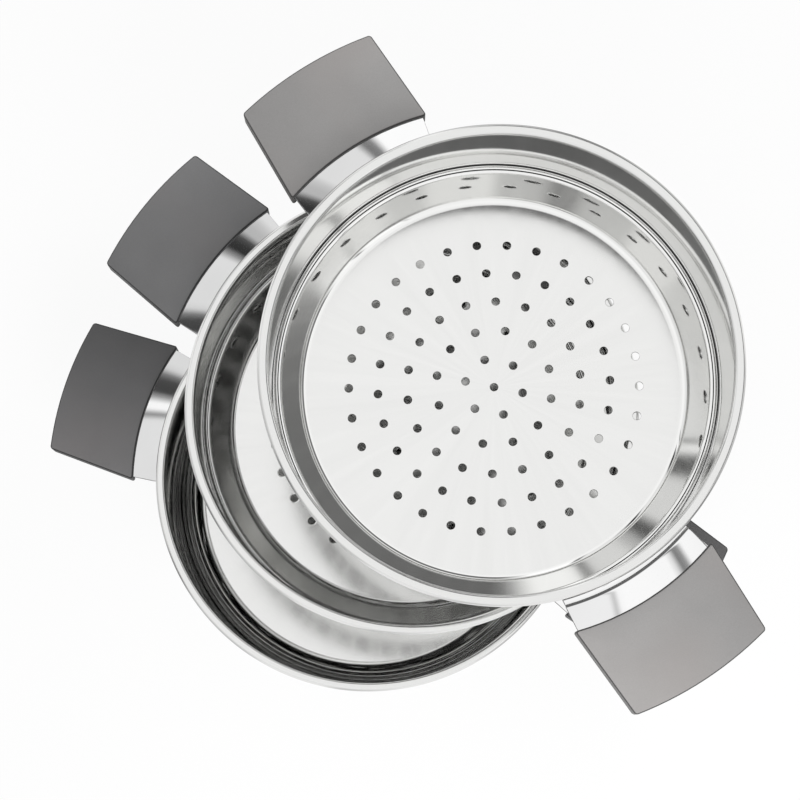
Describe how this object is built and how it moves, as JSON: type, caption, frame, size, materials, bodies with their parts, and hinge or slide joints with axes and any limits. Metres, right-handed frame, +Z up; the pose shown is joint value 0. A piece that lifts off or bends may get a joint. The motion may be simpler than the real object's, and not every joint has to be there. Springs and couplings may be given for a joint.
{
  "type": "tiered food steamer",
  "caption": "Round stainless steel water pan under stacked perforated steaming baskets that lift off, each with curved sheet brackets and flat grey side grips.",
  "frame": {"origin": "centre of the water pan's flat underside", "axes": "+Z up along the pan's axis; +X and +Y are level, with the baskets fanned out towards +X and +Y"},
  "size_m": [0.331, 0.2998, 0.249],
  "materials": {
    "vessel_steel": "polished",
    "bracket_steel": "polished",
    "base_steel": "satin",
    "base_aluminium": "satin",
    "screw_steel": "satin",
    "grip_plastic": "fine matte grain"
  },
  "bodies": {
    "pan": {"bottom_pan": "vessel_steel", "bottom_base_disc": "base_aluminium", "bottom_base_cap": "base_steel", "bottom_left_bracket": "bracket_steel", "bottom_left_grip": "grip_plastic", "bottom_left_grip_screws": "screw_steel", "bottom_right_bracket": "bracket_steel", "bottom_right_grip": "grip_plastic", "bottom_right_grip_screws": "screw_steel"},
    "middle_tier": {"middle_basket": "vessel_steel", "middle_left_bracket": "bracket_steel", "middle_left_grip": "grip_plastic", "middle_left_grip_screws": "screw_steel", "middle_right_bracket": "bracket_steel", "middle_right_grip": "grip_plastic", "middle_right_grip_screws": "screw_steel"},
    "top_tier": {"top_basket": "vessel_steel", "top_left_bracket": "bracket_steel", "top_left_grip": "grip_plastic", "top_left_grip_screws": "screw_steel", "top_right_bracket": "bracket_steel", "top_right_grip": "grip_plastic", "top_right_grip_screws": "screw_steel"}
  },
  "joints": [
    {"name": "middle_lift", "type": "slide", "parent": "pan", "child": "middle_tier", "axis": [0, 0, 1], "range_m": [0, 0.15]},
    {"name": "top_lift", "type": "slide", "parent": "middle_tier", "child": "top_tier", "axis": [0, 0, 1], "range_m": [0, 0.15]}
  ]
}
